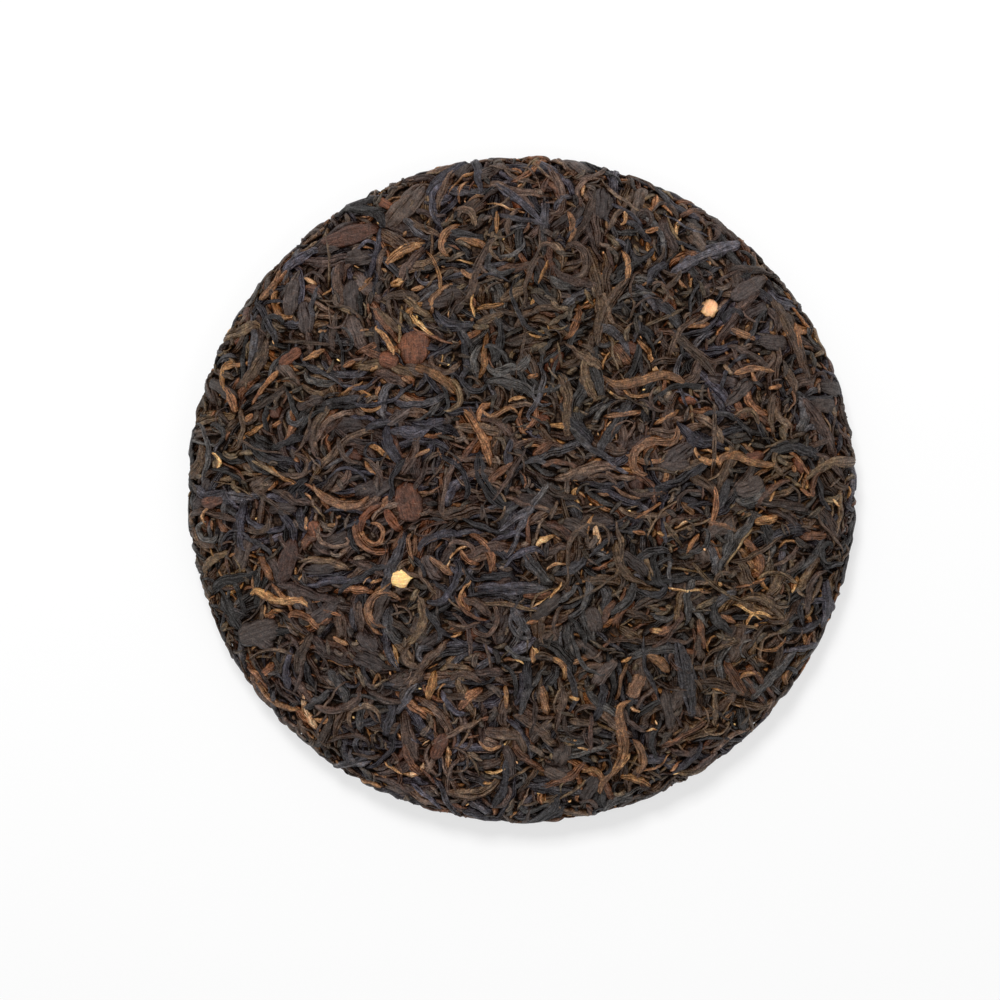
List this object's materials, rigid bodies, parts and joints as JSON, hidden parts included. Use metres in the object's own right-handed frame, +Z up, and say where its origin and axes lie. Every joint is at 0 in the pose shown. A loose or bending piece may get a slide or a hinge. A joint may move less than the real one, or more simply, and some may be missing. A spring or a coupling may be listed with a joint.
{
  "type": "pu erh tea cake",
  "caption": "Round pressed cake of fermented tea: a gently domed face of rolled leaves and buds, a rounded rim, and a hollow in the back inside a flat resting ring.",
  "frame": {"origin": "middle of the cake's box, at the height of the flat ring that it rests on", "axes": "+Z up out of the domed face, +Y towards the top of the face and +X to its right as shown"},
  "size_m": [0.199, 0.1994, 0.0255],
  "materials": {
    "pressed_tea": "matt, dark brown pressed leaf",
    "dark_leaf": "slate-black rolled leaf with a faint bluish sheen",
    "brown_leaf": "dark brown rolled leaf, dull",
    "rust_leaf": "chestnut to rust leaf, dull",
    "golden_bud": "golden-orange bud, dull, downy",
    "leaf_stem": "dry leaf stalk, satin",
    "pale_husk": "pale dry scrap, matt"
  },
  "bodies": {
    "root": {"tea_cake": "pressed_tea"}
  },
  "joints": []
}
